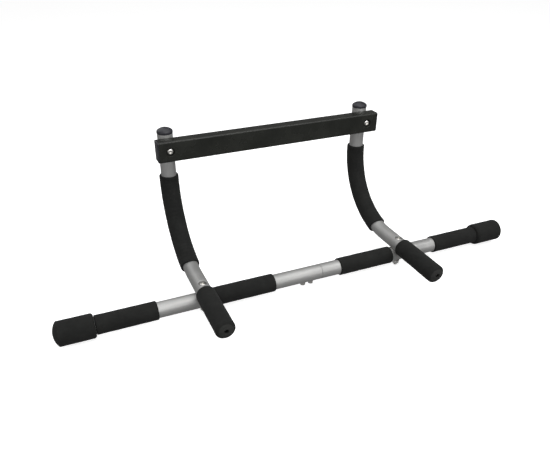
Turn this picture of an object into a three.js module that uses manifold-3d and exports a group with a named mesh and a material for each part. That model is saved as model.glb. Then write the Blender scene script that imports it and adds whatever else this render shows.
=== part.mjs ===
// Doorway pull-up bar: a two-piece steel bar with two bent hook arms bolted across it and a
// flat cross bar bolted to the front of the arms' uprights.
//
// Millimetres, +X along the bar, +Y from the user towards the far side of the wall, +Z up.
// Pieces are built round the main bar's axis, and the whole part is then shifted so that its
// origin is the middle of the cross bar's underside, the face that rests on a door's head trim.

import * as THREE from 'three';
import { mergeVertices } from 'three/addons/utils/BufferGeometryUtils.js';
import Module from 'manifold-3d';

const wasm = await Module();
wasm.setup();

// ---------------------------------------------------------------- driving dimensions

const FIT_GAP = 0.3; // left between pieces that touch
const SIDES = 24; // facets round a tube or grip
const FINE_SIDES = 12; // facets round a fastener

const TUBE_RADIUS = 15;
const TUBE_WALL = 1.5;

const BAR_HALF_LENGTH = 481; // to the outside of the end pads
const SEAM_X = 29.4; // where the two halves of the main bar meet
const SPIGOT_LENGTH = 62;
const SWAGE_LENGTH = 5; // the bore's step down into the spigot, past the shoulder
const SWAGE_START = 1.5;
const JOINT_BOLT_XS = { left: -7, right: 10 };

const GRIP_RADIUS = 17.8;
const GRIP_EDGE = 1.2;
const INNER_GRIP_START = 71.3;
const INNER_GRIP_END = 193.4;
const OUTER_GRIP_START = 299.6;

const PAD_RADIUS = 22.7;
const PAD_LENGTH = 70.7;
const PAD_FACE = 11; // foam thickness over the end of the tube
const PAD_END = { dome: 8, round: 3 };
const PAD_LIP_ROUND = 2.5;

const ARM_X = 212.6;
const ARM_RISE = 22.3; // arm axis above the bar axis: the arm's pressed saddle straddles the bar
const BEND_RADIUS = 144.4;
const BEND_STEPS = 11; // facets along the stretch of the bend that the sleeve covers
const UPRIGHT_Y = 195.6;
const ARM_TOP = 256.3;

const HANDLE_RADIUS = 18.5;
const HANDLE_BACK = -15.6;
const HANDLE_TIP = -132.5; // where the domed end would peak but for its vent hole
const HANDLE_FACE = 9;
const HANDLE_END = { dome: 7, round: 4 };
const HANDLE_VENT_RADIUS = 4.2;

const SLEEVE_RADIUS = 19;
const SLEEVE_SWEEP = 78.2; // degrees of the bend that the foam sleeve covers, from the top
const SLEEVE_RISE = 5; // length of the straight upright that it covers above the bend

const CAP_RADIUS = 15.5;
const CAP_HEIGHT = 10.8;
const CAP_END = { dome: 6, round: 3.5 };
const PLUG_FLANGE = 2;
const PLUG_EDGE = 0.5;
const PLUG_DEPTH = 14;
const PLUG_WALL = 1.8;
const PLUG_ROOT = 0.5; // how far the plug's hollow stops short of its flange

const CROSS_BAR_HALF_LENGTH = 237;
const CROSS_BAR_FRONT = 158.9;
const CROSS_BAR_BACK = 183.6;
const CROSS_BAR_BOTTOM = 210.8;
const CROSS_BAR_HEIGHT = 40;
const CROSS_BAR_WALL = 1.5;
const CROSS_BAR_CORNER = 2.8;
const END_CAP_THICKNESS = 2.5;
const END_CAP_DEPTH = 10;
const END_CAP_BEVEL = 0.8;

const M8 = { shank: 3.9, hole: 4.3, head: 6.4, headHeight: 4.2, washer: 8, washerHeight: 1.6 };
const M8_NUT = { acrossFlats: 13, height: 7.5, collar: 1.6 };
const M6 = { shank: 2.9, hole: 3.3, washer: 6, washerHeight: 1.2, acrossFlats: 10, headHeight: 4.8 };
const M6_NUT = { acrossFlats: 10, height: 5 };
const SOCKET_ACROSS_FLATS = 5;
const SOCKET_DEPTH = 2.2;

const ARM_CUP = { radius: 7.8, depth: 6.2 }; // pressed dimple in the arm's crest for the bolt head
const CROSS_BAR_CUP = { radius: 8, depth: 5.2 };
const BOLT_TAIL = 3; // thread left showing past a nut
const THREAD_CHAMFER = 0.6;
const HEX_CHAMFER_DROP = 3.2; // how far the turned chamfer runs down a head's or nut's corners
const HEX_CHAMFER_LIP = 0.2; // and how near it starts to the flats
const COLLAR_INSET = 0.6; // from a nut's flats to the side of its locking collar
const COLLAR_ROUND = 1;
const HALF_REACH = 60; // half the length of a rod that cuts right through a tube

// ---------------------------------------------------------------- derived places

const TUBE_BORE = TUBE_RADIUS - TUBE_WALL;
const SLIP_RADIUS = TUBE_RADIUS + FIT_GAP; // of what fits round a tube
const SPIGOT_RADIUS = TUBE_BORE - FIT_GAP;
const SPIGOT_BORE = SPIGOT_RADIUS - TUBE_WALL;
const BAR_TUBE_END = BAR_HALF_LENGTH - PAD_FACE - PLUG_FLANGE - 2 * FIT_GAP;
const PAD_START = BAR_HALF_LENGTH - PAD_LENGTH;
const BEND_Y = UPRIGHT_Y - BEND_RADIUS;
const BEND_Z = ARM_RISE + BEND_RADIUS;
const ARM_TUBE_TIP = HANDLE_TIP + HANDLE_FACE + PLUG_FLANGE + 2 * FIT_GAP;
const ARM_CREST = ARM_RISE + TUBE_RADIUS;
const CROSS_BAR_DEPTH = CROSS_BAR_BACK - CROSS_BAR_FRONT;
const CROSS_BAR_MID_Y = (CROSS_BAR_FRONT + CROSS_BAR_BACK) / 2;
const CROSS_BAR_MID_Z = CROSS_BAR_BOTTOM + CROSS_BAR_HEIGHT / 2;
const CROSS_BAR_TUBE_HALF = CROSS_BAR_HALF_LENGTH - END_CAP_THICKNESS - FIT_GAP;
const SIDE_SIGNS = { left: -1, right: 1 };

// ---------------------------------------------------------------- materials

const silverPaint = { color: 0xa9aba9, roughness: 0.38, metalness: 0.7 };
const blackFoam = { color: 0x1d1d1c, roughness: 0.9, metalness: 0 };
const blackPaint = { color: 0x1b1c1b, roughness: 0.45, metalness: 0.1 };
const blackPlastic = { color: 0x1f2024, roughness: 0.5, metalness: 0 };
const zincSteel = { color: 0xc9c9c4, roughness: 0.3, metalness: 1 };

const part = new THREE.Group();
const barFrame = new THREE.Group();
barFrame.position.set(0, -CROSS_BAR_MID_Y, -CROSS_BAR_BOTTOM);
part.add(barFrame);

function addMesh(name, geometry, finish, parent = barFrame) {
  const mesh = new THREE.Mesh(geometry, new THREE.MeshStandardMaterial(finish));
  mesh.name = name;
  parent.add(mesh);
  return mesh;
}

// ---------------------------------------------------------------- solids and booleans

function toSolid(geometry) {
  const bare = geometry.clone();
  bare.deleteAttribute('normal');
  bare.deleteAttribute('uv');
  const merged = mergeVertices(bare, 1e-4);
  const vertProperties = new Float32Array(merged.attributes.position.array);
  const triVerts = new Uint32Array(merged.index.array);
  return new wasm.Manifold(new wasm.Mesh({ numProp: 3, vertProperties, triVerts }));
}

function toGeometry(solid) {
  const mesh = solid.getMesh();
  const geometry = new THREE.BufferGeometry();
  geometry.setAttribute('position', new THREE.BufferAttribute(mesh.vertProperties, 3));
  geometry.setIndex(new THREE.BufferAttribute(mesh.triVerts, 1));
  geometry.computeVertexNormals();
  return geometry;
}

function cut(solid, tools) {
  return tools.reduce((left, tool) => left.subtract(tool), solid);
}

// A closed rod from one point to another.
function rod(radius, start, end, sides = SIDES) {
  const from = new THREE.Vector3(...start);
  const to = new THREE.Vector3(...end);
  const direction = to.clone().sub(from);
  const geometry = new THREE.CylinderGeometry(radius, radius, direction.length(), sides);
  const upright = new THREE.Vector3(0, 1, 0);
  const turn = new THREE.Quaternion().setFromUnitVectors(upright, direction.normalize());
  geometry.applyQuaternion(turn);
  geometry.translate(...from.add(to).multiplyScalar(0.5).toArray());
  return toSolid(geometry);
}

// A body of revolution about +Z from [radius, height] pairs that close on themselves.
function turned(profile, sides = SIDES) {
  const points = profile.map(([radius, height]) => new THREE.Vector2(radius, height));
  if (profile[0][0] !== 0) {
    points.push(points[0].clone());
  }
  const geometry = new THREE.LatheGeometry(points, sides);
  geometry.rotateX(Math.PI / 2);
  return geometry;
}

// Points of a quarter-round from one angle to another, in degrees, for a turned profile.
function roundPoints(centreRadius, centreHeight, round, fromDegrees, toDegrees, steps = 2) {
  return Array.from({ length: steps + 1 }, (_, i) => {
    const degrees = fromDegrees + ((toDegrees - fromDegrees) * i) / steps;
    const angle = THREE.MathUtils.degToRad(degrees);
    return [centreRadius + round * Math.cos(angle), centreHeight + round * Math.sin(angle)];
  });
}

// The side's rounded edge and the shallow dome that ends a turned profile, whose peak is at
// `peak`; the dome stops at `holeRadius` from the axis.
function domedEnd(radius, { dome, round }, peak, holeRadius = 0) {
  const sphere = (radius ** 2 + dome ** 2) / (2 * dome);
  const centre = peak - sphere;
  const edgeCentre = centre + Math.sqrt((sphere - round) ** 2 - (radius - round) ** 2);
  const edgeTurn = THREE.MathUtils.radToDeg(Math.acos((radius - round) / (sphere - round)));
  const holeTurn = THREE.MathUtils.radToDeg(Math.acos(holeRadius / sphere));
  return [
    ...roundPoints(radius - round, edgeCentre, round, 0, edgeTurn),
    ...roundPoints(0, centre, sphere, edgeTurn, holeTurn, 4).slice(1),
  ];
}

function hexagonShape(acrossFlats) {
  const corner = acrossFlats / Math.sqrt(3);
  const shape = new THREE.Shape();
  for (let i = 0; i < 6; i += 1) {
    const angle = (i * Math.PI) / 3;
    const place = [corner * Math.cos(angle), corner * Math.sin(angle)];
    if (i === 0) {
      shape.moveTo(...place);
    } else {
      shape.lineTo(...place);
    }
  }
  shape.closePath();
  return shape;
}

function extruded(shape, depth, curveSegments = 4) {
  return new THREE.ExtrudeGeometry(shape, { depth, bevelEnabled: false, curveSegments });
}

// A rounded rectangle, width along its local X and height along its local Y.
function roundedRectangle(width, height, corner) {
  const w = width / 2 - corner;
  const h = height / 2 - corner;
  const shape = new THREE.Shape();
  shape.absarc(w, h, corner, 0, Math.PI / 2);
  shape.absarc(-w, h, corner, Math.PI / 2, Math.PI);
  shape.absarc(-w, -h, corner, Math.PI, 1.5 * Math.PI);
  shape.absarc(w, -h, corner, 1.5 * Math.PI, 2 * Math.PI);
  return shape;
}

// ---------------------------------------------------------------- the bent arm's centre line

// Runs from a point on the straight lower leg, through the bend, to a height on the upright.
// Equal steps of the parameter fall on the straight's ends and on equal turns of the bend.
class HookPath extends THREE.Curve {
  constructor(stations) {
    super();
    this.stations = stations;
  }

  getPointAt(u) {
    return this.stationAt(u).point.clone();
  }

  getTangentAt(u) {
    return this.stationAt(u).tangent.clone();
  }

  stationAt(u) {
    return this.stations[Math.round(u * (this.stations.length - 1))];
  }
}

function bendStation(turn) {
  const y = BEND_Y + BEND_RADIUS * Math.sin(turn);
  const z = BEND_Z - BEND_RADIUS * Math.cos(turn);
  return {
    point: new THREE.Vector3(0, y, z),
    tangent: new THREE.Vector3(0, Math.cos(turn), Math.sin(turn)),
  };
}

function uprightStation(z) {
  return { point: new THREE.Vector3(0, UPRIGHT_Y, z), tangent: new THREE.Vector3(0, 0, 1) };
}

// The tube and the sleeve share these, so that their facets run side by side.
function sleeveStations() {
  const sweep = THREE.MathUtils.degToRad(SLEEVE_SWEEP);
  const lowest = Math.PI / 2 - sweep;
  const turns = Array.from({ length: BEND_STEPS + 1 }, (_, i) => lowest + (sweep * i) / BEND_STEPS);
  return [...turns.map(bendStation), uprightStation(BEND_Z + SLEEVE_RISE)];
}

function hookStations(tipY, topZ) {
  const tip = { point: new THREE.Vector3(0, tipY, ARM_RISE), tangent: new THREE.Vector3(0, 1, 0) };
  return [tip, bendStation(0), ...sleeveStations(), uprightStation(topZ)];
}

function swept(stations, radius, boreRadius = 0) {
  const shape = new THREE.Shape();
  shape.absarc(0, 0, radius, 0, 2 * Math.PI);
  if (boreRadius > 0) {
    const bore = new THREE.Path();
    bore.absarc(0, 0, boreRadius, 0, 2 * Math.PI, true);
    shape.holes.push(bore);
  }
  return new THREE.ExtrudeGeometry(shape, {
    steps: stations.length - 1,
    curveSegments: SIDES / 2, // a full circle takes twice this many points
    extrudePath: new HookPath(stations),
  });
}

// ---------------------------------------------------------------- fasteners, each about its own +Z

// Button-head bolt: the head's underside is at zero, the shank runs down.
function buttonBolt(length) {
  const { shank, head, headHeight } = M8;
  const profile = [
    [0, -length],
    [shank - THREAD_CHAMFER, -length],
    [shank, -length + THREAD_CHAMFER],
    [shank, 0],
    [head, 0],
    [head, headHeight * 0.35],
    [head * 0.85, headHeight * 0.75],
    [head * 0.55, headHeight],
    [0, headHeight],
  ];
  const socket = extruded(hexagonShape(SOCKET_ACROSS_FLATS), SOCKET_DEPTH + 1);
  socket.translate(0, 0, headHeight - SOCKET_DEPTH);
  return toGeometry(toSolid(turned(profile, FINE_SIDES)).subtract(toSolid(socket)));
}

function hexBolt(length) {
  const { shank, acrossFlats, headHeight } = M6;
  const head = toSolid(extruded(hexagonShape(acrossFlats), headHeight));
  const chamfer = turned(
    [
      [0, -1],
      [acrossFlats, -1],
      [acrossFlats, headHeight - HEX_CHAMFER_DROP],
      [acrossFlats / 2 - HEX_CHAMFER_LIP, headHeight],
      [0, headHeight],
    ],
    FINE_SIDES,
  );
  const stem = rod(shank, [0, 0, -length], [0, 0, headHeight / 2], FINE_SIDES);
  return toGeometry(head.intersect(toSolid(chamfer)).add(stem));
}

function washer(outer, hole, height) {
  const profile = [
    [hole, 0],
    [outer, 0],
    [outer, height],
    [hole, height],
  ];
  return turned(profile, FINE_SIDES);
}

// Hexagon nut from zero up, with a thinner locking collar on top when one is asked for.
function hexNut({ acrossFlats, height, collar = 0 }, holeRadius) {
  const flatsHeight = height - collar;
  const flats = acrossFlats / 2;
  const side = collar ? flats - COLLAR_INSET : flats;
  const top = collar ? side - COLLAR_ROUND : flats;
  const prism = toSolid(extruded(hexagonShape(acrossFlats), height));
  const outline = turned(
    [
      [0, -1],
      [flats + HEX_CHAMFER_LIP, 0],
      [acrossFlats, HEX_CHAMFER_DROP],
      [acrossFlats, flatsHeight - HEX_CHAMFER_DROP],
      [flats + HEX_CHAMFER_LIP, flatsHeight],
      [side, flatsHeight],
      [side, height - collar * 0.4],
      [top, height],
      [0, height],
    ],
    FINE_SIDES,
  );
  const hole = rod(holeRadius, [0, 0, -1], [0, 0, height + 1], FINE_SIDES);
  return toGeometry(prism.intersect(toSolid(outline)).subtract(hole));
}

// Stands a fastener on a point with its +Z turned to a given direction.
function placeFastener(name, geometry, position, direction) {
  const mesh = addMesh(name, geometry, zincSteel);
  mesh.position.set(...position);
  mesh.quaternion.setFromUnitVectors(new THREE.Vector3(0, 0, 1), new THREE.Vector3(...direction));
}

// ---------------------------------------------------------------- main bar

// Each half has a hole right through for its arm bolt, and both share the joint bolts' holes.
function barHoles(sign) {
  const x = sign * ARM_X;
  const joints = Object.values(JOINT_BOLT_XS);
  return [
    rod(M8.hole, [x, 0, -HALF_REACH], [x, 0, HALF_REACH], FINE_SIDES),
    ...joints.map((jointX) => rod(M6.hole, [jointX, 0, -HALF_REACH], [jointX, 0, 0], FINE_SIDES)),
  ];
}

function alongBar(geometry) {
  geometry.rotateY(Math.PI / 2);
  return geometry;
}

function mainTubeLeft() {
  const seam = SEAM_X - FIT_GAP / 2;
  const profile = [
    [TUBE_BORE, -BAR_TUBE_END],
    [TUBE_RADIUS, -BAR_TUBE_END],
    [TUBE_RADIUS, seam],
    [TUBE_BORE, seam],
  ];
  const tube = toSolid(alongBar(turned(profile)));
  return toGeometry(cut(tube, barHoles(SIDE_SIGNS.left)));
}

// The right half is swaged down to a spigot that slides inside the left half.
function mainTubeRight() {
  const shoulder = SEAM_X + FIT_GAP / 2;
  const spigotEnd = SEAM_X - SPIGOT_LENGTH;
  const profile = [
    [SPIGOT_BORE, spigotEnd],
    [SPIGOT_RADIUS, spigotEnd],
    [SPIGOT_RADIUS, shoulder],
    [TUBE_RADIUS, shoulder],
    [TUBE_RADIUS, BAR_TUBE_END],
    [TUBE_BORE, BAR_TUBE_END],
    [TUBE_BORE, shoulder + SWAGE_LENGTH],
    [SPIGOT_BORE, shoulder + SWAGE_START],
  ];
  const tube = toSolid(alongBar(turned(profile)));
  return toGeometry(cut(tube, barHoles(SIDE_SIGNS.right)));
}

// A hollow plug whose flange covers the raw end of a tube: body below zero, flange from zero up,
// whose outer face is given from its side to its middle.
function flangedPlug(flangeRadius, face) {
  const body = TUBE_BORE - FIT_GAP;
  const profile = [
    [0, -PLUG_ROOT],
    [body - PLUG_WALL, -PLUG_ROOT],
    [body - PLUG_WALL, -PLUG_DEPTH],
    [body, -PLUG_DEPTH],
    [body, 0],
    [flangeRadius, 0],
    ...face,
  ];
  return turned(profile);
}

function tubePlug() {
  const face = [
    [TUBE_RADIUS, PLUG_FLANGE - PLUG_EDGE],
    [TUBE_RADIUS - PLUG_EDGE, PLUG_FLANGE],
    [0, PLUG_FLANGE],
  ];
  return flangedPlug(TUBE_RADIUS, face);
}

function softTube(radius, start, end) {
  const e = GRIP_EDGE;
  const profile = [
    [SLIP_RADIUS, start],
    [radius - e, start],
    [radius, start + e],
    [radius, end - e],
    [radius - e, end],
    [SLIP_RADIUS, end],
  ];
  return alongBar(turned(profile));
}

function endPad() {
  const lip = PAD_LIP_ROUND;
  const profile = [
    [SLIP_RADIUS, PAD_START],
    ...roundPoints(PAD_RADIUS - lip, PAD_START + lip, lip, -90, 0),
    ...domedEnd(PAD_RADIUS, PAD_END, BAR_HALF_LENGTH),
    [0, BAR_HALF_LENGTH - PAD_FACE],
    [SLIP_RADIUS, BAR_HALF_LENGTH - PAD_FACE],
  ];
  return alongBar(turned(profile));
}

// ---------------------------------------------------------------- hook arms

// A pressed cup about +Z whose mouth is at `mouth`: the solid that fills it, and its hollow.
function pressedCup({ radius, depth }, x, y, mouth) {
  const floor = mouth - depth;
  return {
    filled: rod(radius + TUBE_WALL, [x, y, floor - TUBE_WALL], [x, y, mouth], FINE_SIDES),
    hollow: rod(radius, [x, y, floor], [x, y, mouth + 10], FINE_SIDES),
  };
}

function armTube() {
  const outside = toSolid(swept(hookStations(ARM_TUBE_TIP, ARM_TOP), TUBE_RADIUS));
  const inside = toSolid(swept(hookStations(ARM_TUBE_TIP - 1, ARM_TOP + 1), TUBE_BORE));
  const saddle = (wall) => rod(SLIP_RADIUS + wall, [-HALF_REACH, 0, 0], [HALF_REACH, 0, 0]);
  const cup = pressedCup(ARM_CUP, 0, 0, ARM_CREST);
  const cavity = cut(inside, [saddle(TUBE_WALL), cup.filled]);
  const armHole = rod(M8.hole, [0, 0, 0], [0, 0, ARM_CREST], FINE_SIDES);
  const crossHole = rod(
    M8.hole,
    [0, UPRIGHT_Y - HALF_REACH, CROSS_BAR_MID_Z],
    [0, UPRIGHT_Y + HALF_REACH, CROSS_BAR_MID_Z],
    FINE_SIDES,
  );
  return toGeometry(cut(outside, [saddle(0), cavity, cup.hollow, armHole, crossHole]));
}

function armSleeve() {
  return swept(sleeveStations(), SLEEVE_RADIUS, SLIP_RADIUS);
}

// Foam grip closed by a dome with a vent hole in its middle.
function handleGrip() {
  const length = HANDLE_BACK - HANDLE_TIP;
  const profile = [
    [SLIP_RADIUS, 0],
    ...roundPoints(HANDLE_RADIUS - GRIP_EDGE, GRIP_EDGE, GRIP_EDGE, -90, 0, 1),
    ...domedEnd(HANDLE_RADIUS, HANDLE_END, length, HANDLE_VENT_RADIUS),
    [HANDLE_VENT_RADIUS, length - HANDLE_FACE],
    [SLIP_RADIUS, length - HANDLE_FACE],
  ];
  const grip = turned(profile);
  grip.rotateX(Math.PI / 2);
  grip.translate(0, HANDLE_BACK, ARM_RISE);
  return grip;
}

// ---------------------------------------------------------------- cross bar

// A rounded-rectangle prism along X, in the cross bar's own section, shrunk all round.
function crossBarPrism(shrink, halfLength) {
  const shape = roundedRectangle(
    CROSS_BAR_DEPTH - 2 * shrink,
    CROSS_BAR_HEIGHT - 2 * shrink,
    Math.max(CROSS_BAR_CORNER - shrink, 0.8),
  );
  const geometry = extruded(shape, 2 * halfLength, 2);
  geometry.rotateX(Math.PI / 2);
  geometry.rotateZ(Math.PI / 2);
  geometry.translate(-halfLength, CROSS_BAR_MID_Y, CROSS_BAR_MID_Z);
  return geometry;
}

function crossBar() {
  const signs = Object.values(SIDE_SIGNS);
  const tools = [];
  const fillings = [];
  const hollows = [];
  for (const sign of signs) {
    const x = sign * ARM_X;
    const floor = CROSS_BAR_FRONT + CROSS_BAR_CUP.depth;
    const z = CROSS_BAR_MID_Z;
    const upright = (wall) =>
      rod(SLIP_RADIUS + wall, [x, UPRIGHT_Y, z - HALF_REACH], [x, UPRIGHT_Y, z + HALF_REACH]);
    const cupOutside = CROSS_BAR_CUP.radius + CROSS_BAR_WALL;
    fillings.push(upright(CROSS_BAR_WALL));
    fillings.push(rod(cupOutside, [x, 0, z], [x, floor + CROSS_BAR_WALL, z], FINE_SIDES));
    hollows.push(rod(CROSS_BAR_CUP.radius, [x, 0, z], [x, floor, z], FINE_SIDES));
    hollows.push(rod(M8.hole, [x, 0, z], [x, UPRIGHT_Y, z], FINE_SIDES));
    tools.push(upright(0));
  }
  const cavity = cut(toSolid(crossBarPrism(CROSS_BAR_WALL, CROSS_BAR_TUBE_HALF + 1)), fillings);
  const outside = toSolid(crossBarPrism(0, CROSS_BAR_TUBE_HALF));
  return toGeometry(cut(outside, [cavity, ...tools, ...hollows]));
}

// Flange over the open end and a hollow block inside it, drawn at the right-hand end.
function crossBarEndCap() {
  const outerX = CROSS_BAR_HALF_LENGTH;
  const innerX = outerX - END_CAP_THICKNESS;
  const slice = (shrink, fromX, toX) => {
    const geometry = crossBarPrism(shrink, (toX - fromX) / 2);
    geometry.translate((fromX + toX) / 2, 0, 0);
    return toSolid(geometry);
  };
  const inside = CROSS_BAR_WALL + FIT_GAP;
  const edge = slice(0, innerX, outerX - END_CAP_BEVEL);
  const flange = edge.add(slice(END_CAP_BEVEL, innerX, outerX));
  const block = slice(inside, innerX - END_CAP_DEPTH, innerX + PLUG_ROOT);
  const hollow = slice(inside + PLUG_WALL, innerX - END_CAP_DEPTH - 1, innerX - PLUG_ROOT);
  return toGeometry(flange.add(block).subtract(hollow));
}

// ---------------------------------------------------------------- assembly

addMesh('main_tube_left', mainTubeLeft(), silverPaint);
addMesh('main_tube_right', mainTubeRight(), silverPaint);
addMesh('cross_bar', crossBar(), blackPaint);

const DOWN = [0, 0, -1];
const UP = [0, 0, 1];
const AWAY = [0, 1, 0];
const TOWARDS = [0, -1, 0];

for (const [side, sign] of Object.entries(SIDE_SIGNS)) {
  const half = new THREE.Group();
  half.rotation.z = sign > 0 ? 0 : Math.PI;
  barFrame.add(half);
  const innerGrip = softTube(GRIP_RADIUS, INNER_GRIP_START, INNER_GRIP_END);
  const outerGrip = softTube(GRIP_RADIUS, OUTER_GRIP_START, PAD_START - FIT_GAP);
  const barPlug = alongBar(tubePlug());
  barPlug.translate(BAR_TUBE_END + FIT_GAP, 0, 0);
  addMesh(`inner_grip_${side}`, innerGrip, blackFoam, half);
  addMesh(`outer_grip_${side}`, outerGrip, blackFoam, half);
  addMesh(`end_pad_${side}`, endPad(), blackFoam, half);
  addMesh(`main_tube_plug_${side}`, barPlug, blackPlastic, half);

  const arm = new THREE.Group();
  arm.position.x = sign * ARM_X;
  barFrame.add(arm);
  const handlePlug = tubePlug();
  handlePlug.rotateX(Math.PI / 2);
  handlePlug.translate(0, ARM_TUBE_TIP - FIT_GAP, ARM_RISE);
  const topCap = flangedPlug(CAP_RADIUS, domedEnd(CAP_RADIUS, CAP_END, CAP_HEIGHT));
  topCap.translate(0, UPRIGHT_Y, ARM_TOP + FIT_GAP);
  addMesh(`arm_tube_${side}`, armTube(), silverPaint, arm);
  addMesh(`arm_sleeve_${side}`, armSleeve(), blackFoam, arm);
  addMesh(`handle_grip_${side}`, handleGrip(), blackFoam, arm);
  addMesh(`handle_plug_${side}`, handlePlug, blackPlastic, arm);
  addMesh(`top_cap_${side}`, topCap, blackPlastic, arm);

  const endCap = crossBarEndCap();
  if (sign < 0) {
    endCap.translate(0, -CROSS_BAR_MID_Y, 0);
    endCap.rotateZ(Math.PI);
    endCap.translate(0, CROSS_BAR_MID_Y, 0);
  }
  addMesh(`cross_bar_end_cap_${side}`, endCap, blackPlastic);

  const x = sign * ARM_X;
  const armSeat = ARM_CREST - ARM_CUP.depth + FIT_GAP;
  const armWasherZ = -TUBE_RADIUS - FIT_GAP;
  const armNutZ = armWasherZ - M8.washerHeight - FIT_GAP;
  const armTail = armNutZ - M8_NUT.height - BOLT_TAIL;
  const armBolt = buttonBolt(armSeat - armTail);
  const armWasher = washer(M8.washer, M8.hole, M8.washerHeight);
  placeFastener(`arm_bolt_${side}`, armBolt, [x, 0, armSeat], UP);
  placeFastener(`arm_washer_${side}`, armWasher, [x, 0, armWasherZ], DOWN);
  placeFastener(`arm_nut_${side}`, hexNut(M8_NUT, M8.hole - 0.1), [x, 0, armNutZ], DOWN);

  const z = CROSS_BAR_MID_Z;
  const crossSeat = CROSS_BAR_FRONT + CROSS_BAR_CUP.depth - FIT_GAP;
  const crossWasherY = UPRIGHT_Y + TUBE_RADIUS + FIT_GAP;
  const crossNutY = crossWasherY + M8.washerHeight + FIT_GAP;
  const crossTail = crossNutY + M8_NUT.height + BOLT_TAIL;
  const crossBolt = buttonBolt(crossTail - crossSeat);
  const crossWasher = washer(M8.washer, M8.hole, M8.washerHeight);
  placeFastener(`cross_bar_bolt_${side}`, crossBolt, [x, crossSeat, z], TOWARDS);
  placeFastener(`cross_bar_washer_${side}`, crossWasher, [x, crossWasherY, z], AWAY);
  placeFastener(`cross_bar_nut_${side}`, hexNut(M8_NUT, M8.hole - 0.1), [x, crossNutY, z], AWAY);
}

for (const [side, x] of Object.entries(JOINT_BOLT_XS)) {
  const washerZ = -TUBE_RADIUS - FIT_GAP;
  const headZ = washerZ - M6.washerHeight - FIT_GAP;
  const nutCorner = M6_NUT.acrossFlats / Math.sqrt(3);
  const nutZ = FIT_GAP - Math.sqrt(SPIGOT_BORE ** 2 - nutCorner ** 2);
  const tailZ = nutZ + M6_NUT.height + BOLT_TAIL / 2;
  const jointWasher = washer(M6.washer, M6.hole, M6.washerHeight);
  placeFastener(`joint_bolt_${side}`, hexBolt(tailZ - headZ), [x, 0, headZ], DOWN);
  placeFastener(`joint_washer_${side}`, jointWasher, [x, 0, washerZ], DOWN);
  placeFastener(`joint_nut_${side}`, hexNut(M6_NUT, M6.hole - 0.1), [x, 0, nutZ], UP);
}

export default part;
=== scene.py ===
"""Looks of the doorway pull-up bar: fine meshes, materials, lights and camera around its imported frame.

Metres, in the frame's axes: +X along the bar, +Y away from the user, +Z up. Every place comes from
the frame's boxes, and every length that a box can't tell is a named number below.
"""

import math

import bmesh
import bpy
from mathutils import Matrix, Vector, noise


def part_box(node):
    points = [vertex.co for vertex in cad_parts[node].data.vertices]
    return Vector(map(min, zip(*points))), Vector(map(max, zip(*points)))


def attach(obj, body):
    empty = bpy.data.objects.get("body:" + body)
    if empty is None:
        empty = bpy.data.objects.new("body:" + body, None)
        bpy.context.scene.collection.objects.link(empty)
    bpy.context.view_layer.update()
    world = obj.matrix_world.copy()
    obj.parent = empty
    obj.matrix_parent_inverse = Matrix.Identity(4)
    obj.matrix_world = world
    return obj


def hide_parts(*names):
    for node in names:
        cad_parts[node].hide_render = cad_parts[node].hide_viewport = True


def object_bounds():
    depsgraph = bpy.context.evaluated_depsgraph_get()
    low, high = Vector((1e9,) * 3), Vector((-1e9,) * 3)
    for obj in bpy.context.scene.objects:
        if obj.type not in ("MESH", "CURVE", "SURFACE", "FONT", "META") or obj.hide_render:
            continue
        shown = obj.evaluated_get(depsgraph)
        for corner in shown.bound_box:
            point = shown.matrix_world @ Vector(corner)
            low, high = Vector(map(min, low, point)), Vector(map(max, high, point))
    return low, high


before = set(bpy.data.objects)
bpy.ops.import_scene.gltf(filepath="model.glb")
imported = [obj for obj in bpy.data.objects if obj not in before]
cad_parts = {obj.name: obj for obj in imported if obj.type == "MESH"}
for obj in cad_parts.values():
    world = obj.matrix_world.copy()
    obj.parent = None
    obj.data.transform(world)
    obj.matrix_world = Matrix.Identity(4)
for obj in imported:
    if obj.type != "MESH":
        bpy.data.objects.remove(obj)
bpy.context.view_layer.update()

MM = 0.001
HAIR = 0.1 * MM  # a small margin
SIDES = 72
SIDE_SIGNS = {"left": -1, "right": 1}

# ---------------------------------------------------------------- lengths that the boxes can't tell

TUBE_WALL = 1.5 * MM
TUBE_EDGE = 0.5 * MM  # rounding of a tube's rim
RING_SPACING = 12 * MM  # between a tube's rings where nothing is cut or bent
BEND_RADIUS = 144.4 * MM
SADDLE_BLEND = 1.6 * MM  # rounding where the arm's underside is pressed over the bar
SADDLE_HALF_WIDTH = 20 * MM  # of the stretch whose rings are close together for the saddle
SADDLE_SPACING = 0.7 * MM
BEND_SPACING = 3 * MM
ARM_CUP_RADIUS = 7.8 * MM
ARM_CUP_DEPTH = 6.2 * MM
CROSS_CUP_RADIUS = 8 * MM
CROSS_CUP_DEPTH = 5.2 * MM
CUP_LIP = 0.7 * MM
LIP_REACH = 10 * MM  # how far a flared cutter stands out of its mouth
M8_HOLE = 4.3 * MM
M6_HOLE = 3.3 * MM
CROSS_CORNER = 2.8 * MM
TOOL_REACH = 60 * MM  # half the length of a cutter that goes right through
TOOL_PAST = 5 * MM  # how far an open bore's cutter runs past the metal
END_CAP_THICKNESS = 2.5 * MM
END_CAP_ROUND = 2 * MM
SPIGOT_WALL = 1.5 * MM
SWAGE_START = 1.5 * MM  # the bore's step down into the spigot, measured from the shoulder
SWAGE_END = 5 * MM
HANDLE_VENT_RADIUS = 4.2 * MM
HANDLE_VENT_LIP = 1.0 * MM
HANDLE_FACE = 9 * MM  # foam over the end of the arm
HANDLE_DOME = 7 * MM
HANDLE_EDGE = 4 * MM
HANDLE_LIP = (2.4 * MM, 2.2 * MM)
HANDLE_SPACING = 1.4 * MM
HANDLE_BORE_SPACING = 3 * MM
HANDLE_SKIN_HIGHLIGHT_DEPTH = 3.8 * MM  # how far back from the tip the closed end's lighter colour reaches: a painted highlight, partly also a greyer skin
HANDLE_SKIN_HIGHLIGHT_BLEND = 0.8 * MM
HANDLE_SKIN_HIGHLIGHT_LIFT = 1.6  # the painted highlight's colour, as a multiple of the foam's own range
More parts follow.
